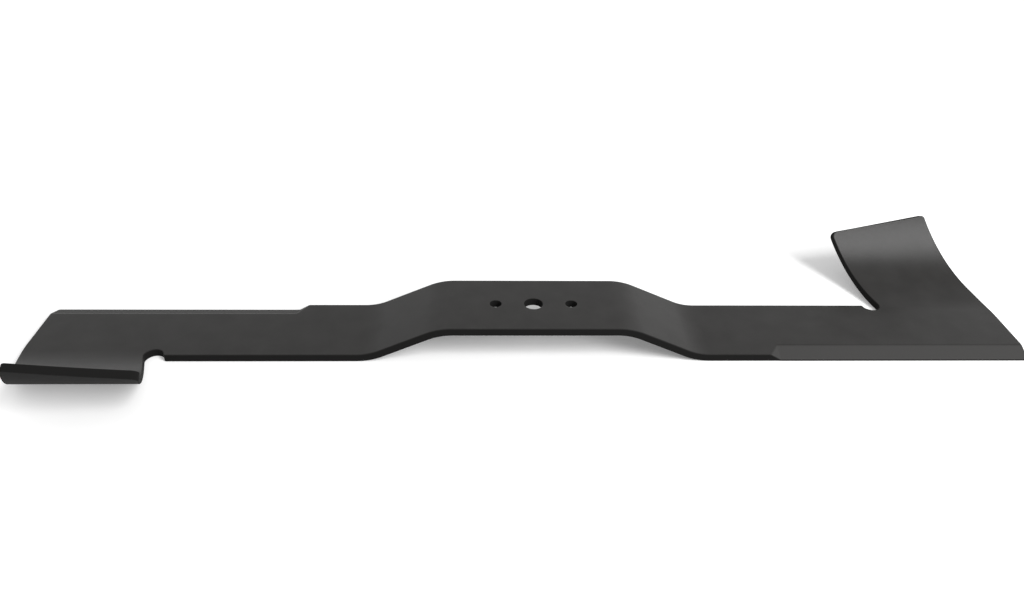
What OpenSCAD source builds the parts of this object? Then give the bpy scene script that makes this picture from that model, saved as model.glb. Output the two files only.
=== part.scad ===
// Rotary mower blade, pressed from one flat steel bar.
// The origin is the centre of the hub hole on the hub flat's top face.
// +X runs along the blade and +Z points up, the way the lift wings rise.
// The blade maps onto itself when it turns half a turn about Z, so each half is made once and turned.

/* [Bar] */
// Length of the blade from tip to tip
blade_length = 497; // [470:1:530]
// Width of the bar
bar_width = 44; // [40:0.5:50]
// Thickness of the bar
bar_thickness = 4; // [3:0.1:5]

/* [Hub flat] */
// Distance between the bend lines at the two ends of the hub flat
hub_flat_length = 94; // [86:1:104]
// Diameter of the centre hole
centre_hole_d = 9.5; // [8:0.1:12]
// Diameter of each side hole
side_hole_d = 6; // [5:0.1:8]
// Distance between the centres of the two side holes
side_hole_spacing = 38; // [32:1:46]

/* [Offset bends] */
// Height of the hub flat above the arms
hub_rise = 15.4; // [10:0.1:18]
// Distance along the blade between the two bend lines of a ramp
ramp_run = 34.3; // [30:0.1:40]
// Inside radius of the bends between hub flat, ramps and arms
offset_bend_r = 28; // [16:1:34]

/* [Cutting edge] */
// Length of each cutting edge that is ground to full depth
cutting_edge_length = 126; // [100:1:132]
// Width of the ground bevel
bevel_width = 8.5; // [6:0.1:11]
// Thickness left at the cutting edge
edge_land = 0.8; // [0.4:0.1:1.5]
// Length over which the bevel runs out at its inner end
bevel_run_out = 5.5; // [4:0.5:14]

/* [Relief notch] */
// Radius of the round notch beside the wing's root
notch_r = 4.5; // [3:0.1:6]
// Depth by which the notch reaches past the wing's bend line
notch_overcut = 0.5; // [0.2:0.1:1]
// Depth by which the notch reaches into the wing's inner side
notch_bite = 0.3; // [0.2:0.1:0.8]

/* [Lift wing] */
// Width of the wing along the arm's trailing edge, from the notch to the tip
wing_root_width = 60; // [50:1:70]
// Inside radius of the wing's bend
wing_bend_r = 55; // [46:1:62]
// Angle that the wing has bent through at its inner top corner
wing_inner_bend = 54; // [46:0.5:58]
// Angle that the wing has bent through at its outer top corner
wing_outer_bend = 64; // [60:0.5:72]
// Lean of the wing's inner side towards the hub
wing_inner_lean = 20.6; // [14:0.1:26]
// Lean of the wing's outer side towards the hub
wing_outer_lean = 23.2; // [18:0.1:30]
// Radius of the sweep from the arm's end into the wing's outer side
tip_sweep_r = 51; // [30:1:60]
// Radius of the wing's inner top corner
wing_corner_r = 3; // [1:0.5:6]

/* [Hidden] */
$fn = 96;

// Satin paint
paint = [0.23, 0.23, 0.22];

// Bar and offset bends, seen from the side
tip_x = blade_length / 2;
hub_end_x = hub_flat_length / 2;
arm_start_x = hub_end_x + ramp_run;
arm_top_z = -hub_rise;
ramp_angle = atan(hub_rise / ramp_run);
outer_bend_r = offset_bend_r + bar_thickness;
// Distance by which each corner of the bottom line lies nearer the hub than the one above it
corner_shift = bar_thickness * tan(ramp_angle / 2);
// Depth by which the circle of a rounding reaches past the sides it joins
rounding_sink = 0.03;

// Cutting edge
leading_y = -bar_width / 2;
bevel_depth = bar_thickness - edge_land;
bevel_angle = atan(bevel_depth / bevel_width);
run_out_x = tip_x - cutting_edge_length - bevel_run_out;
run_out_plan_angle = atan(bevel_width / bevel_run_out);
run_out_dip = atan(bevel_depth * norm([bevel_width, bevel_run_out]) / (bevel_width * bevel_run_out));

// Wing: bend line, notch, and the tilts of the planes in which its two sides are straight, each a share
// of that side's bend
trailing_y = bar_width / 2;
bend_y = trailing_y - notch_r + notch_overcut;
root_x = tip_x - wing_root_width;
notch_x = root_x - notch_r + notch_bite;
inner_tilt_share = 0.25;
outer_tilt_share = 0.5;
inner_tilt = inner_tilt_share * wing_inner_bend;
outer_tilt = outer_tilt_share * wing_outer_bend;
root_bend = asin((trailing_y - bend_y) / wing_bend_r);
// Rise of the wing's inside face above its root, in a plane tilted about the bend line
function side_rise(bend, tilt) = wing_bend_r * (sin(bend - tilt) - sin(root_bend - tilt));
// Height of the wing's root above the bend line, in the same plane
function root_height(tilt) = wing_bend_r * (sin(root_bend - tilt) + sin(tilt));
inner_corner_x = root_x - side_rise(wing_inner_bend, inner_tilt) * tan(wing_inner_lean);
outer_corner_x = tip_x - side_rise(wing_outer_bend, outer_tilt) * tan(wing_outer_lean);

// Free edge: a straight cut from corner to corner, square to the sheet at its middle
edge_bend = (wing_inner_bend + wing_outer_bend) / 2;
half_edge_bend = (wing_outer_bend - wing_inner_bend) / 2;
edge_mid_x = (inner_corner_x + outer_corner_x) / 2;
edge_slant = atan(2 * wing_bend_r * sin(half_edge_bend) / (outer_corner_x - inner_corner_x));
// Inner top corner: outward normals of the two faces that meet there, the line in which they meet, and
// the directions in which they leave it
function unit(v) = v / norm(v);
inner_normal = [
    -cos(wing_inner_lean),
    -sin(wing_inner_lean) * cos(inner_tilt),
    -sin(wing_inner_lean) * sin(inner_tilt)
];
free_normal = [
    -sin(edge_slant),
    cos(edge_slant) * cos(edge_bend),
    cos(edge_slant) * sin(edge_bend)
];
corner_line = unit(cross(free_normal, inner_normal));
down_side = cross(corner_line, inner_normal);
along_edge = cross(free_normal, corner_line);
across_side = cross(corner_line, down_side);

// Reach of cutting bodies past what they cut, length of the cut that rounds the wing's corner, and the
// extra bend of the wing's blank past its free edge
reach = bar_width + wing_bend_r;
corner_cut_length = 4 * bar_thickness;
blank_extra_bend = 12;
clear = 1;

// What lies between a corner and its rounding. The corner is at the origin, with sides along +X and at
// the given angle, and the piece also reaches past both sides.
module corner_piece(angle, radius) {
    centre_distance = (radius - rounding_sink) / sin(angle / 2);
    foot = centre_distance * cos(angle / 2);
    past = bar_thickness / 2;
    difference() {
        polygon([
            -past / sin(angle / 2) * [cos(angle / 2), sin(angle / 2)],
            [foot, -past],
            [foot, 0],
            foot * [cos(angle), sin(angle)],
            foot * [cos(angle), sin(angle)] + past * [-sin(angle), cos(angle)]
        ]);
        translate(centre_distance * [cos(angle / 2), sin(angle / 2)])
            circle(radius);
    }
}

// One side of the bar in side view, from the middle of the hub flat to the tip
module half_side_view() {
    corner = 180 - ramp_angle;
    difference() {
        union() {
            polygon([
                [0, 0],
                [hub_end_x, 0],
                [arm_start_x, arm_top_z],
                [tip_x, arm_top_z],
                [tip_x, arm_top_z - bar_thickness],
                [arm_start_x - corner_shift, arm_top_z - bar_thickness],
                [hub_end_x - corner_shift, -bar_thickness],
                [0, -bar_thickness]
            ]);
            translate([hub_end_x - corner_shift, -bar_thickness])
                rotate(180)
                    corner_piece(corner, offset_bend_r);
            translate([arm_start_x, arm_top_z])
                corner_piece(corner, offset_bend_r);
        }
        translate([hub_end_x, 0])
            rotate(180)
                corner_piece(corner, outer_bend_r);
        translate([arm_start_x - corner_shift, arm_top_z - bar_thickness])
            corner_piece(corner, outer_bend_r);
    }
}

// The bar over its full length and width, with its offset bends
module bar() {
    rotate([90, 0, 0])
        linear_extrude(bar_width, center = true) {
            half_side_view();
            mirror([1, 0])
                half_side_view();
        }
}

// End of an arm past the middle of the notch, square across the bar, up to the wing's bend line
module arm_end_region() {
    translate([notch_x, leading_y - clear, arm_top_z - bar_thickness - clear])
        cube([tip_x - notch_x + clear, bar_width + 2 * clear, bar_thickness + 2 * clear]);
}

// Flat blank of an arm's end, up to the bend line
module arm_end_blank() {
    translate([notch_x, leading_y, arm_top_z - bar_thickness])
        cube([tip_x - notch_x, bend_y - leading_y, bar_thickness]);
}

// Bent blank of a wing, untrimmed at its sides and free edge
module wing_blank() {
    blank_start_x = inner_corner_x - reach / 2;
    translate([blank_start_x, bend_y, arm_top_z + wing_bend_r])
        rotate([0, 90, 0])
            rotate_extrude(angle = wing_outer_bend + blank_extra_bend)
                translate([wing_bend_r, 0])
                    square([bar_thickness, tip_x - blank_start_x]);
}

// Outline of an arm's end and of its wing's outer side, in the plane of the outer tilt
module outer_outline() {
    root = root_height(outer_tilt);
    rise = side_rise(wing_outer_bend + blank_extra_bend, outer_tilt);
    difference() {
        polygon([
            [arm_start_x, -reach],
            [tip_x, -reach],
            [tip_x, root],
            [tip_x - rise * tan(wing_outer_lean), root + rise],
            [arm_start_x, root + rise]
        ]);
        translate([tip_x, root])
            rotate(90 + wing_outer_lean)
                corner_piece(180 - wing_outer_lean, tip_sweep_r);
    }
}

// Outline of an arm's end and of its wing's inner side, in the plane of the inner tilt
module inner_outline() {
    root = root_height(inner_tilt);
    rise = side_rise(wing_outer_bend + blank_extra_bend, inner_tilt);
    polygon([
        [arm_start_x, -reach],
        [tip_x + clear, -reach],
        [tip_x + clear, root + rise],
        [root_x - rise * tan(wing_inner_lean), root + rise],
        [root_x, root],
        [notch_x, 0],
        [arm_start_x, 0]
    ]);
}

// Prism of an outline, in a plane tilted about the wing's bend line
module outline_prism(tilt) {
    translate([0, bend_y, arm_top_z])
        rotate([tilt, 0, 0])
            linear_extrude(2 * reach, center = true)
                children();
}

// Cut along the wing's free edge
module free_edge_cut() {
    translate([edge_mid_x, bend_y, arm_top_z + wing_bend_r])
        rotate([edge_bend, 0, 0])
            translate([0, 0, -wing_bend_r])
                rotate([0, 0, edge_slant])
                    translate([-reach / 2, 0, -reach / 2])
                        cube(reach);
}

// Cut that rounds the wing's inner top corner
module wing_corner_cut() {
    corner_y = bend_y + wing_bend_r * sin(wing_inner_bend);
    corner_z = arm_top_z + wing_bend_r * (1 - cos(wing_inner_bend));
    multmatrix([
        [down_side.x, across_side.x, corner_line.x, inner_corner_x],
        [down_side.y, across_side.y, corner_line.y, corner_y],
        [down_side.z, across_side.z, corner_line.z, corner_z]
    ])
        linear_extrude(corner_cut_length, center = true)
            corner_piece(acos(down_side * along_edge), wing_corner_r);
}

// End of one arm with its lift wing
module arm_end() {
    difference() {
        intersection() {
            union() {
                arm_end_blank();
                wing_blank();
            }
            outline_prism(outer_tilt)
                outer_outline();
            outline_prism(inner_tilt)
                inner_outline();
        }
        free_edge_cut();
        wing_corner_cut();
    }
}

// Round relief notch between an arm's trailing edge and its wing
module notch_cut() {
    translate([notch_x, trailing_y, arm_top_z - bar_thickness - clear])
        cylinder(h = bar_thickness + 2 * clear, r = notch_r);
}

// Ground bevel along an arm's leading edge, with its sloping run-out
module bevel_cut() {
    intersection() {
        translate([run_out_x, leading_y + bevel_width, arm_top_z])
            rotate([bevel_angle, 0, 0])
                translate([-clear, -reach, 0])
                    cube([cutting_edge_length + bevel_run_out + 2 * clear, reach, reach]);
        translate([run_out_x, leading_y, arm_top_z])
            rotate([0, 0, run_out_plan_angle])
                rotate([run_out_dip, 0, 0])
                    translate([-reach, -2 * blade_length, 0])
                        cube([2 * blade_length, 2 * blade_length, reach]);
    }
}

// Hole through the hub flat
module hub_hole(diameter) {
    translate([0, 0, -bar_thickness - clear])
        cylinder(h = bar_thickness + 2 * clear, d = diameter);
}

// The whole blade
module blade() {
    color(paint)
        difference() {
            union() {
                difference() {
                    bar();
                    for (turn = [0, 180])
                        rotate([0, 0, turn])
                            arm_end_region();
                }
                for (turn = [0, 180])
                    rotate([0, 0, turn])
                        arm_end();
            }
            for (turn = [0, 180])
                rotate([0, 0, turn]) {
                    bevel_cut();
                    notch_cut();
                    translate([side_hole_spacing / 2, 0, 0])
                        hub_hole(side_hole_d);
                }
            hub_hole(centre_hole_d);
        }
}

blade();
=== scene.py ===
"""Rotary mower blade: the painted blade on a studio stage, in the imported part's frame."""

import math

import bmesh
import bpy
import numpy as np
from mathutils import Matrix, Vector


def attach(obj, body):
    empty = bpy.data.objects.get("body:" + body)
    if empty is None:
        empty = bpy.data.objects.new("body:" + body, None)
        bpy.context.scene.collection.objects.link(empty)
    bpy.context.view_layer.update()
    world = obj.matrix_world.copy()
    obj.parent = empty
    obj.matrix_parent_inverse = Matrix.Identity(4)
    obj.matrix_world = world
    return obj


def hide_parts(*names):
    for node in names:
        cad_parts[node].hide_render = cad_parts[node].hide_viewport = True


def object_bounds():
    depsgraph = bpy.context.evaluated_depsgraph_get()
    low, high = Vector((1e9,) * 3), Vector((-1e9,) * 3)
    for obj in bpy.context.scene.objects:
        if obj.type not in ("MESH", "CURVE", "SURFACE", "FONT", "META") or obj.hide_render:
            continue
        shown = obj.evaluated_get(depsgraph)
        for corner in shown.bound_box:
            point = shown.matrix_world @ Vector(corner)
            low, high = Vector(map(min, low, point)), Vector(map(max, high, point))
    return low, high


bl_info = {
    "name": "Rotary Mower Blade",
    "version": (1, 0, 0),
    "blender": (4, 5, 0),
    "location": "3D View > Sidebar > Mower Blade",
    "description": "Builds a painted rotary mower blade round its packed solid, with a studio stage",
    "category": "Add Mesh",
}

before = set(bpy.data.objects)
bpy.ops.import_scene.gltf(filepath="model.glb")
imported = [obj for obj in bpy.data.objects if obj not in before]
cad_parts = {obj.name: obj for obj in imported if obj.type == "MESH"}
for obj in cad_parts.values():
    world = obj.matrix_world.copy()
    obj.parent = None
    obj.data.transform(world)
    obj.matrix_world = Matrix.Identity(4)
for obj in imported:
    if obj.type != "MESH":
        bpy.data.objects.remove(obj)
CAD_LOW, CAD_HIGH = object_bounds()

BLADE_NODE = "blade"
BLADE_BODY = "root"

# Masks for the ground finish and for the dark film with painted shade, in the order in which they follow a
# point's x, y and z
GROUND_MASK = "ground_face"
EDGE_FILM_AND_SHADE_MASK = "edge_film_and_painted_shade"

# What half a turn about the centre hole makes of a point with its two masks
HALF_TURN = (-1.0, -1.0, 1.0, 1.0, 1.0)

# Closest distance at which two vertices stay separate, in metres
MERGE_DISTANCE = 2e-6

# Share of the dark film on the underside, where it is painted shade
UNDERSIDE_PAINTED_SHADE = 0.75

# Depths below the top face at which the ground finish begins and at which it is complete, in metres
GROUND_FADE = (0.00009, 0.00039)

# Width over which the creases of the ground bevel are rounded off, in metres
CREASE_SOFTNESS = 0.0001

# Largest share of an edge's thickness that one of its two roundings takes
ROUND_SHARE = 0.35

# Distances between rows of the mesh across the bar, in metres: on the bevel, at its crease and behind it
BEVEL_SPACING = 0.0007
CREASE_SPACING = 0.0003
FACE_SPACING = 0.0028

# Close rows on each side of the bevel's crease, and all rows on the trailing half of the bar
CREASE_ROWS = 3
TRAILING_ROWS = 9

# Distances between columns along the bar, in metres: on flats, in bends, on the arm, at the bevel's run-out
FLAT_SPACING = 0.003
BEND_SPACING = 0.0011
ARM_SPACING = 0.004
RUN_OUT_SPACING = 0.0006

# Length before and after the bevel's run-out that has the close columns too, in metres
RUN_OUT_MARGIN = 0.002

# Squares along half of a hole's cell, squares from a hole's rim outwards, and the power that crowds these
HOLE_COLUMNS = 8
HOLE_RINGS = 10
RING_CROWDING = 1.5

# Points on a quarter of a rounded edge, and on half of a rounded corner of the wing
ROUND_STEPS = 5
CORNER_STEPS = 5

# Points on the other curves and lines of the outline
ARM_CORNER_STEPS = 7
NOTCH_STEPS = 9
NOTCH_WING_STEPS = 14
INNER_SIDE_STEPS = 20
FREE_EDGE_STEPS = 26
TIP_STEPS = 9

# Rows of the wing's faces that are drawn over to its free edge
BLEND_ROWS = 13

# Middle part of a noise's values, which is drawn out to a whole range
NOISE_RANGE = (0.3, 0.7)

# Scale of the grinding streaks' noise along the bar, across it and upwards
STREAK_SCALE = (1.0, 0.05, 0.05)

# Half the side of the floor, in metres
FLOOR_REACH = 4.0

# Distances between which the camera sees, in metres
CLIP_RANGE = (0.01, 50.0)

# Width of the image that the camera is worked out for, in pixels, and of the camera's sensor
IMAGE_WIDTH = 1024
SENSOR_WIDTH_MM = 36.0


class BladeShape(bpy.types.PropertyGroup):
    """Sizes of the blade's flat pattern and of its bends."""

    half_length: bpy.props.FloatProperty(
        name="Half Length", description="Distance from the centre hole to a tip",
        default=CAD_HIGH.x, unit="LENGTH")
    half_width: bpy.props.FloatProperty(
        name="Half Width", description="Half the width of the bar",
        default=0.022, unit="LENGTH")
    thickness: bpy.props.FloatProperty(
        name="Thickness", description="Thickness of the bar",
        default=0.004, unit="LENGTH")
    edge_radius: bpy.props.FloatProperty(
        name="Edge Radius", description="Rounding of the painted edges",
        default=0.00045, unit="LENGTH")
    hole_edge_radius: bpy.props.FloatProperty(
        name="Hole Edge Radius", description="Rounding of the punched holes' rims",
        default=0.0001, unit="LENGTH")
    hub_end: bpy.props.FloatProperty(
        name="Hub End", description="Distance from the centre hole to the bend line at the hub flat's end",
        default=0.047, unit="LENGTH")
    ramp_run: bpy.props.FloatProperty(
        name="Ramp Run", description="Distance between the two bend lines of a ramp",
        default=0.0343, unit="LENGTH")
    hub_rise: bpy.props.FloatProperty(
        name="Hub Rise", description="Height of the hub flat above the arms",
        default=0.0154, unit="LENGTH")
    bend_radius: bpy.props.FloatProperty(
        name="Bend Radius", description="Inside radius of the bends at both ends of a ramp",
        default=0.028, unit="LENGTH")
    centre_hole_radius: bpy.props.FloatProperty(
        name="Centre Hole Radius", description="Radius of the centre hole",
        default=0.00475, unit="LENGTH")
    side_hole_radius: bpy.props.FloatProperty(
        name="Side Hole Radius", description="Radius of each side hole",
        default=0.003, unit="LENGTH")
    side_hole_distance: bpy.props.FloatProperty(
        name="Side Hole Distance", description="Distance from the centre hole to each side hole",
        default=0.019, unit="LENGTH")
    bevel_start: bpy.props.FloatProperty(
        name="Bevel Start", description="Distance from the centre hole to where the ground bevel begins",
        default=0.117, unit="LENGTH")
    bevel_run_out: bpy.props.FloatProperty(
        name="Bevel Run-out", description="Length over which the ground bevel reaches its full width",
        default=0.0055, unit="LENGTH")
    bevel_width: bpy.props.FloatProperty(
        name="Bevel Width", description="Width of the ground bevel",
        default=0.0085, unit="LENGTH")
    edge_land: bpy.props.FloatProperty(
        name="Edge Land", description="Thickness left at the cutting edge",
        default=0.0008, unit="LENGTH")
    notch_radius: bpy.props.FloatProperty(
        name="Notch Radius", description="Radius of the relief notch beside the wing",
        default=0.0045, unit="LENGTH")
    notch_distance: bpy.props.FloatProperty(
        name="Notch Distance", description="Distance from the centre hole to the middle of the notch",
        default=0.1843, unit="LENGTH")
    wing_bend_line: bpy.props.FloatProperty(
        name="Wing Bend Line",
        description="Distance from the bar's middle line to where the wing starts to bend",
        default=0.018, unit="LENGTH")
    wing_bend_radius: bpy.props.FloatProperty(
        name="Wing Bend Radius", description="Inside radius of the wing's bend",
        default=0.055, unit="LENGTH")
    inner_corner: bpy.props.FloatVectorProperty(
        name="Inner Top Corner", description="The wing's inner top corner in the flat pattern",
        default=(0.1718, 0.0698), size=2, unit="LENGTH")
    outer_corner: bpy.props.FloatVectorProperty(
        name="Outer Top Corner", description="The wing's outer top corner in the flat pattern",
        default=(0.2250, 0.0795), size=2, unit="LENGTH")
    inner_corner_radius: bpy.props.FloatProperty(
        name="Inner Corner Radius", description="Rounding of the wing's inner top corner in the flat pattern",
        default=0.003, unit="LENGTH")
    outer_corner_radius: bpy.props.FloatProperty(
        name="Outer Corner Radius", description="Rounding of the wing's outer top corner in the flat pattern",
        default=0.002, unit="LENGTH")
    tip_sweep_start: bpy.props.FloatProperty(
        name="Tip Sweep Place",
        description="Distance from the bar's middle line to the turn of the arm's end",
        default=0.0242, unit="LENGTH")
    tip_sweep_radius: bpy.props.FloatProperty(
        name="Tip Sweep Radius", description="Radius of the sweep from the arm's end into the wing's side",
        default=0.059, unit="LENGTH")


class BladePaint(bpy.types.PropertyGroup):
    """Finish of the blade."""

    colour: bpy.props.FloatVectorProperty(
        name="Colour", description="Colour of the satin paint on the faces",
        default=(0.0165, 0.0158, 0.0152), size=3, subtype="COLOR")
    thin_colour: bpy.props.FloatVectorProperty(
        name="Thin Colour", description="Colour of the paint where the film is thinner",
        default=(0.0215, 0.0207, 0.020), size=3, subtype="COLOR")
    ground_colour: bpy.props.FloatVectorProperty(
        name="Ground Colour", description="Colour of the paint on the ground bevel",
        default=(0.037, 0.0362, 0.0355), size=3, subtype="COLOR")
    # Painted shade: this dark colour is partly the sheared edges' rough finish and partly shade on them, and
    # on the underside it is shade only
    edge_and_shade_colour: bpy.props.FloatVectorProperty(
        name="Dark Colour", description="Colour of the rough film on the sheared edges and the underside",
        default=(0.006, 0.0058, 0.0056), size=3, subtype="COLOR")
    specular: bpy.props.FloatProperty(
        name="Specular Level", description="Strength of the paint's reflection",
        default=0.15, min=0.0, max=1.0, subtype="FACTOR")
    smooth_roughness: bpy.props.FloatProperty(
        name="Smooth Roughness", description="Roughness of the paint where it is smoothest",
        default=0.28, min=0.0, max=1.0, subtype="FACTOR")
    dull_roughness: bpy.props.FloatProperty(
        name="Dull Roughness", description="Roughness of the paint where it is dullest",
        default=0.38, min=0.0, max=1.0, subtype="FACTOR")
    ground_roughness: bpy.props.FloatProperty(
        name="Ground Roughness", description="Roughness of the paint on the ground bevel",
        default=0.7, min=0.0, max=1.0, subtype="FACTOR")
    dark_roughness: bpy.props.FloatProperty(
        name="Dark Roughness", description="Roughness of the film on the sheared edges and the underside",
        default=0.95, min=0.0, max=1.0, subtype="FACTOR")
    cloud_size: bpy.props.FloatProperty(
        name="Cloud Size", description="Size of the cloudy patches in the paint",
        default=0.012, unit="LENGTH")
    grain_size: bpy.props.FloatProperty(
        name="Grain Size", description="Size of the fine grain in the paint film",
        default=0.0005, unit="LENGTH")
    streak_size: bpy.props.FloatProperty(
        name="Streak Size", description="Distance between the grinding streaks on the bevel",
        default=0.0006, unit="LENGTH")
    relief: bpy.props.FloatProperty(
        name="Relief", description="Height of the grain and of the streaks",
        default=0.00003, unit="LENGTH")
    relief_strength: bpy.props.FloatProperty(
        name="Relief Strength", description="Share of the relief that shows",
        default=0.5, min=0.0, max=1.0, subtype="FACTOR")


class BladeStage(bpy.types.PropertyGroup):
    """Floor, light and camera."""

    floor_colour: bpy.props.FloatVectorProperty(
        name="Floor Colour", description="Colour of the floor",
        default=(0.84, 0.84, 0.84), size=3, subtype="COLOR")
    floor_bounce: bpy.props.FloatVectorProperty(
        name="Floor Bounce", description="Colour of the floor to the light that it throws up",
        default=(0.2, 0.2, 0.2), size=3, subtype="COLOR")
    floor_glow: bpy.props.FloatVectorProperty(
        name="Floor Glow",
        description="Light that the near and the far floor add to the eye and in reflections",
        default=(0.18, 0.6), size=2, min=0.0, max=1.0)
    glow_range: bpy.props.FloatVectorProperty(
        name="Glow Range", description="Distances at which the near floor ends and the far floor begins",
        default=(0.1, 0.6), size=2, unit="LENGTH")
    floor_roughness: bpy.props.FloatProperty(
        name="Floor Roughness", description="Roughness of the floor",
        default=0.9, min=0.0, max=1.0, subtype="FACTOR")
    sky_strength: bpy.props.FloatProperty(
        name="Sky Strength", description="Brightness of the even light from all round",
        default=0.55, min=0.0)
    seen_strength: bpy.props.FloatProperty(
        name="Seen Strength", description="Brightness of the surroundings to the eye and in reflections",
        default=1.0, min=0.0)
    lamp_place: bpy.props.FloatVectorProperty(
        name="Lamp Place", description="Where the lamp stands",
        default=(0.79, -0.70, 0.86), size=3, unit="LENGTH")
    lamp_aim: bpy.props.FloatVectorProperty(
        name="Lamp Aim", description="Point that the lamp faces",
        default=(0.15, 0.0, 0.0), size=3, unit="LENGTH")
    lamp_size: bpy.props.FloatVectorProperty(
        name="Lamp Size", description="Width and height of the lamp",
        default=(0.45, 1.0), size=2, unit="LENGTH")
    lamp_power: bpy.props.FloatProperty(
        name="Lamp Power", description="Power of the lamp, in watts",
        default=23.0, min=0.0)
    focal_pixels: bpy.props.FloatProperty(
        name="Focal Length", description="Focal length of the camera, in pixels of the image",
        default=826.0, min=1.0)
    camera_distance: bpy.props.FloatProperty(
        name="Camera Distance", description="Depth of the centre hole in front of the camera",
        default=0.41457, unit="LENGTH")
    camera_elevation: bpy.props.FloatProperty(
        name="Camera Elevation", description="Angle at which the camera looks down",
        default=math.radians(33.4), subtype="ANGLE")
    camera_azimuth: bpy.props.FloatProperty(
        name="Camera Azimuth", description="Angle of the camera round the blade, towards the left",
        default=math.radians(2.25), subtype="ANGLE")
    camera_roll: bpy.props.FloatProperty(
        name="Camera Roll", description="Turn of the camera about its own axis",
        default=math.radians(1.32), subtype="ANGLE")
    camera_offset: bpy.props.FloatVectorProperty(
        name="Camera Offset", description="Where the centre hole lies from the image's middle, in pixels",
        default=(21.49, -5.26), size=2)


def on_bar(shape):
    """The map from the flat pattern to the offset bar.

    The first parameter is the distance along the bar's top line from the middle of the hub: level, an
    arc down, a straight ramp, an arc back to level, level again. The second is the distance across the
    bar, and the third the height above the top face, laid off along the top line's own normal.

    Returns the map, the distances at which the two bends begin and end, and by how much a point of the arm
    is further from the middle along the bar than it is in plan.
    """
    angle = math.atan2(shape.hub_rise, shape.ramp_run)
    upper = shape.bend_radius + shape.thickness
    lower = shape.bend_radius
    upper_tangent = upper * math.tan(angle / 2)
    lower_tangent = lower * math.tan(angle / 2)
    ramp = math.hypot(shape.hub_rise, shape.ramp_run) - upper_tangent - lower_tangent
    flat_end = shape.hub_end - upper_tangent
    ramp_start = flat_end + upper * angle
    ramp_end = ramp_start + ramp
    arm_start = ramp_end + lower * angle

    def place(along, across, height):
        down = np.clip((along - flat_end) / upper, 0, angle)
        ramped = np.clip(along - ramp_start, 0, ramp)
        back = np.clip((along - ramp_end) / lower, 0, angle)
        level = np.minimum(along, flat_end) + np.maximum(along - arm_start, 0)
        x = (level + upper * np.sin(down) + ramped * math.cos(angle)
             + lower * (math.sin(angle) - np.sin(angle - back)))
        z = (-upper * (1 - np.cos(down)) - ramped * math.sin(angle)
             - lower * (np.cos(angle - back) - math.cos(angle)))
        lean = down - back
        return np.stack([x + height * np.sin(lean), across + 0 * along, z + height * np.cos(lean)], -1)

    extra = arm_start - (shape.hub_end + shape.ramp_run + lower_tangent)
    stations = (flat_end, ramp_start, ramp_end, arm_start)
    return place, stations, extra


def on_wing(shape):
    """The map from the flat pattern to the arm's end and its wing.

    The pattern is level up to the bend line. Past it, the distance across the bar is wrapped round a
    cylinder that lies along the bar above the bend line, and the height is laid off towards its axis.
    """
    radius = shape.wing_bend_radius
    line = shape.wing_bend_line

    def place(along, across, height):
        bend = np.maximum(across - line, 0) / radius
        y = np.minimum(across, line) + (radius - height) * np.sin(bend)
        z = -shape.hub_rise + radius - (radius - height) * np.cos(bend)
        return np.stack([along + 0 * across, y, z], -1)

    return place


def ground_depth(along, across, shape):
    """Depth of the ground bevel below the top face.

    The smaller of two sloping planes, one rising from the cutting edge and one from the run-out's
    slanting end, and never less than nothing. The changeovers are rounded as a hyperbola is.
    """
    full = shape.thickness - shape.edge_land
    from_edge = (across + shape.half_width) / shape.bevel_width
    slope = full * (1 - from_edge)
    run_out = full * ((along - shape.bevel_start) / shape.bevel_run_out - from_edge)
    low = 0.5 * (slope + run_out - np.sqrt((slope - run_out) ** 2 + CREASE_SOFTNESS ** 2))
    return 0.5 * (low + np.sqrt(low ** 2 + CREASE_SOFTNESS ** 2))


def unground(along, across):
    """Height of a top face that has no bevel: nothing above or below the bar's own."""
    return 0 * along


def ground_share(height):
    """How far a point of the top face has been ground: none on the face, all a little way below it."""
    start, stop = GROUND_FADE
    return np.clip((-height - start) / (stop - start), 0, 1)


def edge_inset(shape):
    """Width of the strip of a face that is drawn with the edge beside it: twice the edge's rounding."""
    return 2 * shape.edge_radius


def edge_strip(place, top, shape, line, outward, rounding):
    """A rounded edge: a half-round profile carried along a line of the outline.

    Each point of the line has its outward direction. The profile starts on the top face at the inset,
    follows a quarter circle to the side, goes down the side, and follows a quarter circle to the bottom.
    The ground finish goes and the dark film comes with the turn to the side; on the sides this dark film is
    partly the sheared steel's rough finish and partly painted shade. The film thins to its own share on the
    underside, which is painted shade.
    """
    turn = np.linspace(0, math.pi / 2, ROUND_STEPS)[:, None]
    rim = shape.thickness + top(line[:, 0], line[:, 1])
    radius = np.minimum(rounding, ROUND_SHARE * rim)[None, :]
    back = np.vstack([np.full_like(radius, edge_inset(shape)), radius * (1 - np.sin(turn))])
    drop = np.vstack([np.zeros_like(radius), radius * (1 - np.cos(turn))])
    points = line - np.broadcast_to(outward, line.shape) * back[..., None]
    along, across = points[..., 0], points[..., 1]
    upper = place(along, across, top(along, across) - drop)
    lower = place(along, across, -shape.thickness + drop)
    # Dark film mask: grows with the turn to the side, as rough finish and painted shade, and starts from the
    # underside's painted shade share
    sideways = np.broadcast_to(np.vstack([[[0.0]], np.sin(turn)]), along.shape)
    ground = ground_share(top(along, across)) * (1 - sideways)
    return np.concatenate([
        np.dstack([upper, ground, sideways]),
        np.dstack([lower, 0 * ground, UNDERSIDE_PAINTED_SHADE + (1 - UNDERSIDE_PAINTED_SHADE) * sideways])[::-1],
    ])


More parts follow.
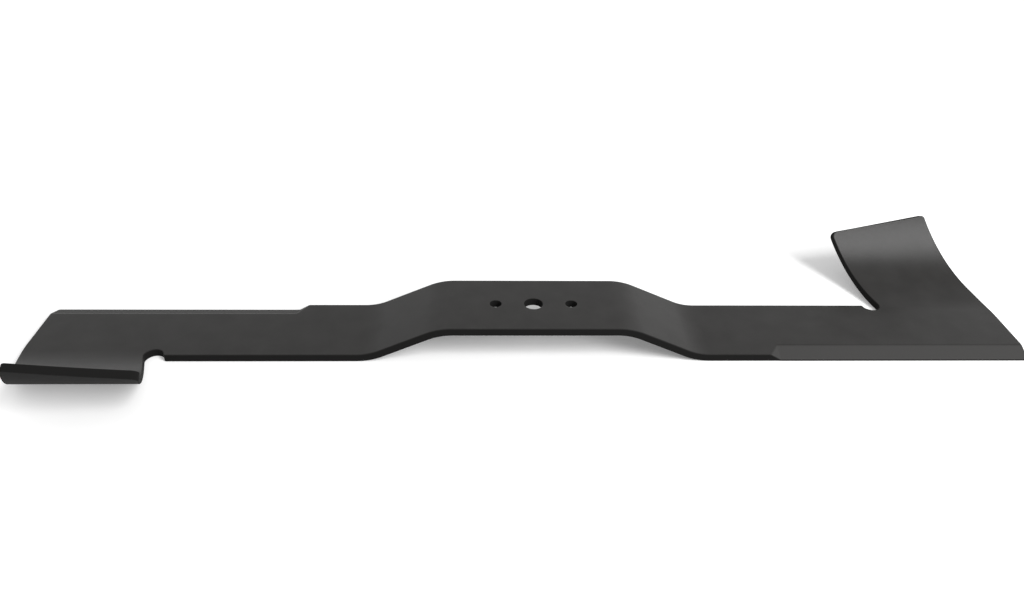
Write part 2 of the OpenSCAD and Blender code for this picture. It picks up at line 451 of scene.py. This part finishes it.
def faces_of(place, top, shape, pattern):
    """The top and bottom faces over a grid of the flat pattern, each point with its two finish masks.

    The ground mask follows the bevel on the top face, and the underside has its share of the dark film, which
    is painted shade.
    """
    along, across = pattern[..., 0], pattern[..., 1]
    height = top(along, across)
    none = np.zeros_like(height)
    # Painted shade: the bottom face takes the underside's share of the dark film
    return [
        np.dstack([place(along, across, height), ground_share(height), none]),
        np.dstack([place(along, across, none - shape.thickness), none, none + UNDERSIDE_PAINTED_SHADE]),
    ]


def steps(start, stop, spacing):
    """Even steps from start up to, but without, stop."""
    count = max(1, int(round((stop - start) / spacing)))
    return np.linspace(start, stop, count + 1)[:-1]


def directions(angles):
    """Unit vectors at angles from the first axis."""
    return np.stack([np.cos(angles), np.sin(angles)], -1)


def angle_of(direction):
    """Angle of a direction from the first axis, from nought to a full turn."""
    return math.atan2(direction[1], direction[0]) % (2 * math.pi)


def distances(points):
    """Distance of each point along its line from the first."""
    return np.concatenate([[0], np.cumsum(np.linalg.norm(np.diff(points, axis=0), axis=1))])


def fan(centre, start, stop, count, radius):
    """Points and outward directions of a convex arc about a centre, from one angle to another."""
    outward = directions(np.linspace(start, stop, count))
    return np.asarray(centre) + radius * outward, outward


def straight(start, stop, count):
    """Points between two others on a straight line, without these two."""
    share = np.linspace(0, 1, count)[1:-1, None]
    return start + share * (stop - start)


def rows_across(shape):
    """Distances across the bar of the rows of the mesh, close together over the ground bevel."""
    inset = edge_inset(shape)
    low, high = -shape.half_width + inset, shape.half_width - inset
    crease = -shape.half_width + shape.bevel_width
    beside = CREASE_ROWS * CREASE_SPACING
    return np.concatenate([
        steps(low, crease - beside, BEVEL_SPACING),
        steps(crease - beside, crease + beside, CREASE_SPACING),
        steps(crease + beside, 0, FACE_SPACING),
        np.linspace(0, high, TRAILING_ROWS),
    ])


def cell_ends(shape):
    """Distances from the blade's middle at which the centre hole's cell and the side hole's cell end."""
    middle = shape.side_hole_distance / 2
    return middle, 3 * middle


def cell_sides(columns, rows, closed):
    """Points round an oblong cell of the mesh: three of its sides, or all four if it is closed."""
    sides = [
        np.stack([columns, np.full_like(columns, rows[0])], -1),
        np.stack([np.full_like(rows, columns[-1]), rows], -1)[1:],
        np.stack([columns, np.full_like(columns, rows[-1])], -1)[::-1][1:],
    ]
    if closed:
        sides.append(np.stack([np.full_like(rows, columns[0]), rows], -1)[::-1][1:])
    return np.concatenate(sides)


def hub_grids(shape, rows):
    """The hub flat from the middle of the blade to past the side hole.

    Each hole lies in an oblong cell, and the faces are drawn between the hole's rim and the cell's sides,
    along straight lines that leave the hole's centre.
    """
    place = on_bar(shape)[0]
    middle, end = cell_ends(shape)
    half_cell = np.linspace(0, middle, HOLE_COLUMNS + 1)
    whole_cell = np.linspace(middle, end, 2 * HOLE_COLUMNS + 1)
    cells = (
        (0.0, shape.centre_hole_radius, half_cell, False),
        (shape.side_hole_distance, shape.side_hole_radius, whole_cell, True),
    )
    share = np.linspace(0, 1, HOLE_RINGS + 1)[:, None, None] ** RING_CROWDING
    grids = []
    for centre, radius, columns, closed in cells:
        cell = cell_sides(columns, rows, closed)
        hole = np.array([centre, 0.0])
        out = directions(np.arctan2(cell[:, 1], cell[:, 0] - centre))
        rim = hole + (radius + edge_inset(shape)) * out
        grids += faces_of(place, unground, shape, rim + share * (cell - rim))
        grids.append(edge_strip(place, unground, shape, hole + radius * out, -out, shape.hole_edge_radius))
        for side in (-1.0, 1.0):
            line = np.stack([columns, np.full_like(columns, side * shape.half_width)], -1)
            grids.append(edge_strip(place, unground, shape, line, (0.0, side), shape.edge_radius))
    return grids


def arm_grids(shape, rows):
    """The ramp and the arm, from the hub flat to the middle of the notch.

    Columns stand square across the bar. Beside the notch they stop short of it, and the rows of the
    trailing half close up to make room. Returns the grids and the rows at the last column.
    """
    place, stations, extra = on_bar(shape)
    flat_end, ramp_start, ramp_end, arm_start = stations

    def top(along, across):
        return -ground_depth(along - extra, across, shape)

    width = shape.half_width
    inset = edge_inset(shape)
    reach = shape.notch_radius + inset
    corner_turn = math.asin(inset / reach)
    quarter = np.linspace(math.pi / 2 - corner_turn, 0, NOTCH_STEPS)
    notch_columns = extra + shape.notch_distance - reach * np.sin(quarter)
    bevel_start = extra + shape.bevel_start - RUN_OUT_MARGIN
    full_bevel = extra + shape.bevel_start + shape.bevel_run_out + RUN_OUT_MARGIN
    columns = np.concatenate([
        steps(cell_ends(shape)[1], flat_end, FLAT_SPACING),
        steps(flat_end, ramp_start, BEND_SPACING),
        steps(ramp_start, ramp_end, FLAT_SPACING),
        steps(ramp_end, arm_start, BEND_SPACING),
        steps(arm_start, bevel_start, ARM_SPACING),
        steps(bevel_start, full_bevel, RUN_OUT_SPACING),
        steps(full_bevel, notch_columns[0], ARM_SPACING),
        notch_columns,
    ])
    plain = len(columns) - len(quarter)
    dip = np.zeros_like(columns)
    dip[plain:] = reach * np.cos(quarter) - inset
    squeeze = np.clip(rows / rows[-1], 0, 1)
    across = rows[:, None] - dip * squeeze[:, None]
    pattern = np.stack([np.broadcast_to(columns, across.shape), across], -1)

    leading = np.stack([columns, np.full_like(columns, -width)], -1)
    trailing = np.stack([columns[:plain + 1], np.full(plain + 1, width)], -1)
    towards_notch = directions(math.pi / 2 - quarter)
    notch_line = np.array([extra + shape.notch_distance, width]) - shape.notch_radius * towards_notch
    edges = (
        (leading, (0.0, -1.0)),
        (trailing, (0.0, 1.0)),
        fan((columns[plain], width - inset), math.pi / 2, corner_turn, ARM_CORNER_STEPS, inset),
        (notch_line, towards_notch),
    )
    strips = [edge_strip(place, top, shape, *edge, shape.edge_radius) for edge in edges]
    return faces_of(place, top, shape, pattern) + strips, across[:, -1]


def corner_centre(corner, first, second, radius):
    """Centre of a rounding in a corner of the outline, from the outward directions of its two sides."""
    return corner - radius * (first + second) / (1 + first @ second)


def free_direction(shape):
    """Outward direction of the wing's free edge, square to the line between its two corners."""
    along = np.array(shape.outer_corner) - np.array(shape.inner_corner)
    along = along / np.linalg.norm(along)
    return np.array([-along[1], along[0]])


def inner_side(shape, free_out):
    """The outline from the notch up the wing's inner side to the middle of its rounded top corner.

    Part of the notch's circle, the straight line from the top corner that touches this circle, and half of
    the corner's rounding. Returns the points, their outward directions, and the rounding's centre and middle.
    """
    radius = shape.inner_corner_radius
    corner = np.array(shape.inner_corner)
    notch = np.array([shape.notch_distance, shape.half_width])
    away = notch - corner
    tangent = math.atan2(away[1], away[0]) + math.asin(shape.notch_radius / math.hypot(*away))
    side_out = directions(np.float64(tangent - math.pi / 2))

    turn = np.linspace(-math.pi / 2, math.atan2(-side_out[1], -side_out[0]), NOTCH_WING_STEPS)
    centre = corner_centre(corner, side_out, free_out, radius)
    middle = (angle_of(side_out) + angle_of(free_out)) / 2
    side = straight(notch - shape.notch_radius * side_out, centre + radius * side_out, INNER_SIDE_STEPS)
    rounded, rounded_out = fan(centre, angle_of(side_out), middle, CORNER_STEPS, radius)
    line = np.concatenate([notch + shape.notch_radius * directions(turn), side, rounded])
    outward = np.concatenate([-directions(turn), np.broadcast_to(side_out, side.shape), rounded_out])
    return line, outward, centre, middle


def swept_end(shape):
    """The outline of the arm's end and the wing's outer side: straight, an arc, straight.

    Returns a function that gives points and outward directions at lengths along the outline from the bar's
    middle line, the lean of the last straight, and the length at which this straight begins.
    """
    tip = shape.half_length
    to_corner = np.array(shape.outer_corner) - np.array([tip, shape.tip_sweep_start])
    lean = math.atan2(-to_corner[0], to_corner[1])
    radius = shape.tip_sweep_radius
    start = shape.tip_sweep_start - radius * math.tan(lean / 2)

    def outline(length):
        turned = np.clip((length - start) / radius, 0, lean)
        past = np.maximum(length - start - radius * lean, 0)
        x = tip - radius * (1 - np.cos(turned)) - past * math.sin(lean)
        y = np.minimum(length, start) + radius * np.sin(turned) + past * math.cos(lean)
        return np.stack([x, y], -1), directions(turned)

    return outline, lean, start + radius * lean


def outer_side(shape, free_out, low_rows, shares):
    """The outline from the tip up the arm's end and the wing's outer side to the middle of its top corner.

    Points stand at the given rows of the bar, and then at the given shares of the rest of the length up to
    the corner's rounding. Returns the points, their outward directions, and the rounding's centre and middle.
    """
    outline, lean, straight_from = swept_end(shape)
    radius = shape.outer_corner_radius
    side_out = directions(np.float64(lean))
    centre = corner_centre(np.array(shape.outer_corner), side_out, free_out, radius)
    middle = (lean + angle_of(free_out)) / 2
    rest = centre + radius * side_out - outline(np.float64(straight_from))[0]
    last = straight_from + np.linalg.norm(rest)
    lengths = np.concatenate([low_rows[:-1], low_rows[-1] + (last - low_rows[-1]) * shares])
    side, side_outward = outline(lengths)
    rounded, rounded_out = fan(centre, lean, middle, CORNER_STEPS, radius)
    line = np.concatenate([side, rounded[1:]])
    return line, np.concatenate([side_outward, rounded_out[1:]]), centre, middle


def tip_grids(shape, low_rows):
    """The arm's end and its wing.

    The faces are ruled between two lines of the flat pattern: on one side the arm's last column, half of the
    notch and the wing's inner side, on the other the arm's end and the wing's outer side. The last rows are
    drawn over to the free edge with its rounded corners.
    """
    place = on_wing(shape)
    inset = edge_inset(shape)

    def top(along, across):
        return -ground_depth(along, across, shape)

    free_out = free_direction(shape)
    inner, inner_out, inner_centre, inner_middle = inner_side(shape, free_out)
    inner_in = inner - inset * inner_out
    junction = np.stack([np.full_like(low_rows, shape.notch_distance), low_rows], -1)
    left = np.concatenate([junction[:-1], inner_in])
    travelled = distances(inner_in[:1 - CORNER_STEPS])
    outer, outer_out, outer_centre, outer_middle = outer_side(
        shape, free_out, low_rows, travelled / travelled[-1])
    right = outer - inset * outer_out

    # Free edge, from the middle of one rounded corner to the middle of the other
    free_angle = angle_of(free_out)
    first, first_out = fan(inner_centre, inner_middle, free_angle, CORNER_STEPS, shape.inner_corner_radius)
    last, last_out = fan(outer_centre, free_angle, outer_middle, CORNER_STEPS, shape.outer_corner_radius)
    between = straight(first[-1], last[0], FREE_EDGE_STEPS)
    free = np.concatenate([first, between, last])
    free_outward = np.concatenate([first_out, np.broadcast_to(free_out, between.shape), last_out])
    free_in = free - inset * free_outward
    travelled = distances(free_in)
    ruling = (travelled / travelled[-1])[None, :, None]

    pattern = (1 - ruling) * left[:, None] + ruling * right[:, None]
    blend = np.clip((np.arange(len(left)) - (len(left) - 1 - BLEND_ROWS)) / BLEND_ROWS, 0, 1)
    blend = (blend * blend * (3 - 2 * blend))[:, None, None]
    pattern = pattern + blend * (free_in - pattern[-1])

    leading = np.stack([pattern[0, :, 0], np.full(pattern.shape[1], -shape.half_width)], -1)
    tip_centre = (shape.half_length - inset, -shape.half_width + inset)
    edges = (
        (leading, (0.0, -1.0)),
        fan(tip_centre, -math.pi / 2, 0, TIP_STEPS, inset),
        (outer, outer_out),
        (free, free_outward),
        (inner, inner_out),
    )
    strips = [edge_strip(place, top, shape, *edge, shape.edge_radius) for edge in edges]
    return faces_of(place, top, shape, pattern) + strips


def joined(grids):
    """One set of vertices and faces from grids of points, with equal points made one.

    A square of a grid that has lost a side becomes a triangle, and one that has lost two is left out.
    """
    points, squares, used = [], [], 0
    for grid in grids:
        rows, columns = grid.shape[:2]
        index = used + np.arange(rows * columns).reshape(rows, columns)
        corners = (index[:-1, :-1], index[:-1, 1:], index[1:, 1:], index[1:, :-1])
        squares.append(np.stack(corners, -1).reshape(-1, 4))
        points.append(grid.reshape(rows * columns, -1))
        used += rows * columns
    points, squares = np.concatenate(points), np.concatenate(squares)
    cells = np.round(points[:, :3] / MERGE_DISTANCE).astype(np.int64)
    _, first, new = np.unique(cells, axis=0, return_index=True, return_inverse=True)
    squares = new.reshape(-1)[squares]
    lost = squares == np.roll(squares, -1, axis=1)
    whole = squares[lost.sum(1) == 0]
    once = lost.sum(1) == 1
    kept = squares[once][~lost[once]].reshape(-1, 3)
    return points[first], whole.tolist() + kept.tolist()


def blade_object(shape):
    """The blade's mesh: one half from its grids, and the same half turned about the centre hole."""
    rows = rows_across(shape)
    arm, last_rows = arm_grids(shape, rows)
    half = hub_grids(shape, rows) + arm + tip_grids(shape, last_rows)
    points, faces = joined(half + [grid * HALF_TURN for grid in half])
    mesh = bpy.data.meshes.new("blade_body")
    mesh.from_pydata(points[:, :3].tolist(), [], faces)
    for column, name in enumerate((GROUND_MASK, EDGE_FILM_AND_SHADE_MASK), start=3):
        attribute = mesh.attributes.new(name, "FLOAT", "POINT")
        attribute.data.foreach_set("value", points[:, column].astype(np.float32))
    work = bmesh.new()
    work.from_mesh(mesh)
    bmesh.ops.remove_doubles(work, verts=work.verts, dist=MERGE_DISTANCE)
    bmesh.ops.recalc_face_normals(work, faces=work.faces)
    open_edges = sum(not edge.is_manifold for edge in work.edges)
    work.to_mesh(mesh)
    work.free()
    if open_edges:
        raise RuntimeError(f"the blade's mesh has {open_edges} open edges")
    mesh.shade_smooth()
    piece = bpy.data.objects.new("blade_body", mesh)
    bpy.context.scene.collection.objects.link(piece)
    return piece


def noise(nodes, links, where, size, detail):
    """Noise of one size on the blade's own coordinates."""
    texture = nodes.new("ShaderNodeTexNoise")
    texture.inputs["Scale"].default_value = 1 / size
    texture.inputs["Detail"].default_value = detail
    links.new(where, texture.inputs["Vector"])
    return texture.outputs["Fac"]


def spread(nodes, links, source, low, high):
    """Draw the middle of a noise's range out to the whole range from low to high."""
    remap = nodes.new("ShaderNodeMapRange")
    remap.inputs["From Min"].default_value, remap.inputs["From Max"].default_value = NOISE_RANGE
    remap.inputs["To Min"].default_value, remap.inputs["To Max"].default_value = low, high
    links.new(source, remap.inputs["Value"])
    return remap.outputs["Result"]


def mixed(nodes, links, data_type, share, first, second):
    """Mix from a first value or colour to a second one by a share, each of them given or linked."""
    mix = nodes.new("ShaderNodeMix")
    mix.data_type = data_type
    links.new(share, mix.inputs["Factor"])
    for socket, value in ((mix.inputs["A"], first), (mix.inputs["B"], second)):
        if isinstance(value, bpy.types.NodeSocket):
            links.new(value, socket)
        elif data_type == "RGBA":
            socket.default_value = (*value, 1)
        else:
            socket.default_value = value
    return mix.outputs["Result"]


def mask(nodes, name):
    """One of the mesh's own finish masks."""
    attribute = nodes.new("ShaderNodeAttribute")
    attribute.attribute_name = name
    return attribute.outputs["Fac"]


def satin_paint(paint):
    """Satin paint on pressed steel.

    The film is cloudy and finely grained on the faces, lets grinding streaks show through on the bevel,
    and is dark and rough on the sheared edges and the underside. The dark colour is partly the sheared
    edges' rough finish and partly painted shade on them, and on the underside it is painted shade.
    """
    material = bpy.data.materials.new("satin_paint")
    material.use_nodes = True
    nodes, links = material.node_tree.nodes, material.node_tree.links
    shader = nodes["Principled BSDF"]
    shader.distribution = "GGX"
    shader.inputs["Specular IOR Level"].default_value = paint.specular
    where = nodes.new("ShaderNodeTexCoord").outputs["Object"]
    ground, dark = mask(nodes, GROUND_MASK), mask(nodes, EDGE_FILM_AND_SHADE_MASK)
    cloud = noise(nodes, links, where, paint.cloud_size, detail=3.0)
    grain = noise(nodes, links, where, paint.grain_size, detail=2.0)

    thin = spread(nodes, links, cloud, 0.0, 1.0)
    colour = mixed(nodes, links, "RGBA", thin, paint.colour, paint.thin_colour)
    colour = mixed(nodes, links, "RGBA", ground, colour, paint.ground_colour)
    # Painted shade: the dark mask darkens the underside, and the sheared edges partly for their finish and
    # partly for shade
    colour = mixed(nodes, links, "RGBA", dark, colour, paint.edge_and_shade_colour)
    links.new(colour, shader.inputs["Base Color"])

    roughness = spread(nodes, links, grain, paint.smooth_roughness, paint.dull_roughness)
    roughness = mixed(nodes, links, "FLOAT", ground, roughness, paint.ground_roughness)
    roughness = mixed(nodes, links, "FLOAT", dark, roughness, paint.dark_roughness)
    links.new(roughness, shader.inputs["Roughness"])

    stretch = nodes.new("ShaderNodeMapping")
    stretch.inputs["Scale"].default_value = STREAK_SCALE
    links.new(where, stretch.inputs["Vector"])
    streaks = noise(nodes, links, stretch.outputs["Vector"], paint.streak_size, detail=1.0)
    bump = nodes.new("ShaderNodeBump")
    bump.inputs["Strength"].default_value = paint.relief_strength
    bump.inputs["Distance"].default_value = paint.relief
    links.new(mixed(nodes, links, "FLOAT", ground, grain, streaks), bump.inputs["Height"])
    links.new(bump.outputs["Normal"], shader.inputs["Normal"])
    return material


class MOWERBLADE_OT_blade(bpy.types.Operator):
    """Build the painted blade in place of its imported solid"""

    bl_idname = "mower_blade.blade"
    bl_label = "Build Blade"

    def execute(self, context):
        piece = blade_object(context.scene.mower_blade_shape)
        piece.data.materials.append(satin_paint(context.scene.mower_blade_paint))
        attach(piece, BLADE_BODY)
        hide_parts(BLADE_NODE)
        return {"FINISHED"}


def seen_rays(nodes, links):
    """One for a ray that the eye follows, straight, by a reflection or through glass, and nought if not."""
    path = nodes.new("ShaderNodeLightPath")
    seen = path.outputs["Is Camera Ray"]
    for ray in ("Is Glossy Ray", "Is Transmission Ray"):
        either = nodes.new("ShaderNodeMath")
        either.operation = "MAXIMUM"
        links.new(seen, either.inputs[0])
        links.new(path.outputs[ray], either.inputs[1])
        seen = either.outputs["Value"]
    return seen


def studio_world(stage):
    """Surroundings that are white to the eye and in reflections, and light the blade from all round."""
    world = bpy.data.worlds.new("studio_sky")
    world.use_nodes = True
    nodes, links = world.node_tree.nodes, world.node_tree.links
    strength = mixed(nodes, links, "FLOAT", seen_rays(nodes, links), stage.sky_strength, stage.seen_strength)
    sky = nodes["Background"]
    sky.inputs["Color"].default_value = (1, 1, 1, 1)
    links.new(strength, sky.inputs["Strength"])
    return world


def floor_material(stage):
    """A floor that is white to the eye and in reflections, and throws less light up at the blade."""
    material = bpy.data.materials.new("floor_paint")
    material.use_nodes = True
    nodes, links = material.node_tree.nodes, material.node_tree.links
    shader = nodes["Principled BSDF"]
    shader.inputs["Roughness"].default_value = stage.floor_roughness
    shader.inputs["Specular IOR Level"].default_value = 0.0
    seen = seen_rays(nodes, links)
    colour = mixed(nodes, links, "RGBA", seen, stage.floor_bounce, stage.floor_colour)
    links.new(colour, shader.inputs["Base Color"])

    distance = nodes.new("ShaderNodeVectorMath")
    distance.operation = "LENGTH"
    links.new(nodes.new("ShaderNodeTexCoord").outputs["Object"], distance.inputs[0])
    fade = nodes.new("ShaderNodeMapRange")
    fade.interpolation_type = "SMOOTHSTEP"
    fade.inputs["From Min"].default_value, fade.inputs["From Max"].default_value = stage.glow_range
    fade.inputs["To Min"].default_value, fade.inputs["To Max"].default_value = stage.floor_glow
    links.new(distance.outputs["Value"], fade.inputs["Value"])
    glow = nodes.new("ShaderNodeMath")
    glow.operation = "MULTIPLY"
    links.new(fade.outputs["Result"], glow.inputs[0])
    links.new(seen, glow.inputs[1])
    shader.inputs["Emission Color"].default_value = (1, 1, 1, 1)
    links.new(glow.outputs["Value"], shader.inputs["Emission Strength"])
    return material


def soft_box(name, place, aim, size, power):
    """A flat, oblong lamp that stands at a place, faces an aim and isn't seen itself."""
    lamp = bpy.data.lights.new(name, "AREA")
    lamp.shape = "RECTANGLE"
    lamp.size, lamp.size_y = size
    lamp.energy = power
    piece = bpy.data.objects.new(name, lamp)
    piece.location = place
    piece.visible_camera = False
    piece.rotation_euler = (Vector(aim) - Vector(place)).to_track_quat("-Z", "Y").to_euler()
    bpy.context.scene.collection.objects.link(piece)


def photo_camera(stage):
    """The camera, from its angles round the blade and the centre hole's place in the image."""
    elevation, azimuth, roll = stage.camera_elevation, stage.camera_azimuth, stage.camera_roll
    back = Vector((
        -math.sin(azimuth) * math.cos(elevation),
        -math.cos(azimuth) * math.cos(elevation),
        math.sin(elevation),
    ))
    level = Vector((math.cos(azimuth), -math.sin(azimuth), 0))
    upright = back.cross(level)
    right = math.cos(roll) * level + math.sin(roll) * upright
    up = -math.sin(roll) * level + math.cos(roll) * upright
    aside = Vector(stage.camera_offset) * stage.camera_distance / stage.focal_pixels
    place = back * stage.camera_distance - right * aside.x - up * aside.y
    data = bpy.data.cameras.new("photo_camera")
    data.sensor_width = SENSOR_WIDTH_MM
    data.lens = SENSOR_WIDTH_MM * stage.focal_pixels / IMAGE_WIDTH
    data.clip_start, data.clip_end = CLIP_RANGE
    camera = bpy.data.objects.new("photo_camera", data)
    camera.matrix_world = Matrix((
        (right.x, up.x, back.x, place.x),
        (right.y, up.y, back.y, place.y),
        (right.z, up.z, back.z, place.z),
        (0, 0, 0, 1),
    ))
    bpy.context.scene.collection.objects.link(camera)
    return camera


class MOWERBLADE_OT_stage(bpy.types.Operator):
    """Build the floor, the light and the camera"""

    bl_idname = "mower_blade.stage"
    bl_label = "Build Stage"

    def execute(self, context):
        stage = context.scene.mower_blade_stage
        corners = ((-1, -1), (1, -1), (1, 1), (-1, 1))
        mesh = bpy.data.meshes.new("studio_floor")
        mesh.from_pydata(
            [(FLOOR_REACH * x, FLOOR_REACH * y, CAD_LOW.z) for x, y in corners], [], [(0, 1, 2, 3)])
        floor = bpy.data.objects.new("studio_floor", mesh)
        context.scene.collection.objects.link(floor)
        floor.data.materials.append(floor_material(stage))

        context.scene.world = studio_world(stage)
        soft_box("key_lamp", stage.lamp_place, stage.lamp_aim, stage.lamp_size, stage.lamp_power)

        context.scene.camera = photo_camera(stage)
        context.scene.view_settings.view_transform = "Standard"
        return {"FINISHED"}


class MOWERBLADE_PT_panel(bpy.types.Panel):
    """Sidebar panel with the blade's sizes, finish and stage"""

    bl_idname = "MOWERBLADE_PT_panel"
    bl_label = "Mower Blade"
    bl_space_type = "VIEW_3D"
    bl_region_type = "UI"
    bl_category = "Mower Blade"

    def draw(self, context):
        layout = self.layout
        for operator, groups in OPERATORS:
            layout.operator(operator)
            for group in groups:
                values = getattr(context.scene, group)
                for name in values.bl_rna.properties.keys():
                    if name not in ("rna_type", "name"):
                        layout.prop(values, name)


GROUPS = {
    "mower_blade_shape": BladeShape,
    "mower_blade_paint": BladePaint,
    "mower_blade_stage": BladeStage,
}
OPERATORS = (
    ("mower_blade.blade", ("mower_blade_shape", "mower_blade_paint")),
    ("mower_blade.stage", ("mower_blade_stage",)),
)
CLASSES = (*GROUPS.values(), MOWERBLADE_OT_blade, MOWERBLADE_OT_stage, MOWERBLADE_PT_panel)


def register():
    for item in CLASSES:
        bpy.utils.register_class(item)
    for name, group in GROUPS.items():
        setattr(bpy.types.Scene, name, bpy.props.PointerProperty(type=group))


def unregister():
    for name in GROUPS:
        delattr(bpy.types.Scene, name)
    for item in reversed(CLASSES):
        bpy.utils.unregister_class(item)


def main():
    register()
    bpy.ops.mower_blade.blade()
    bpy.ops.mower_blade.stage()


if __name__ == "__main__":
    main()
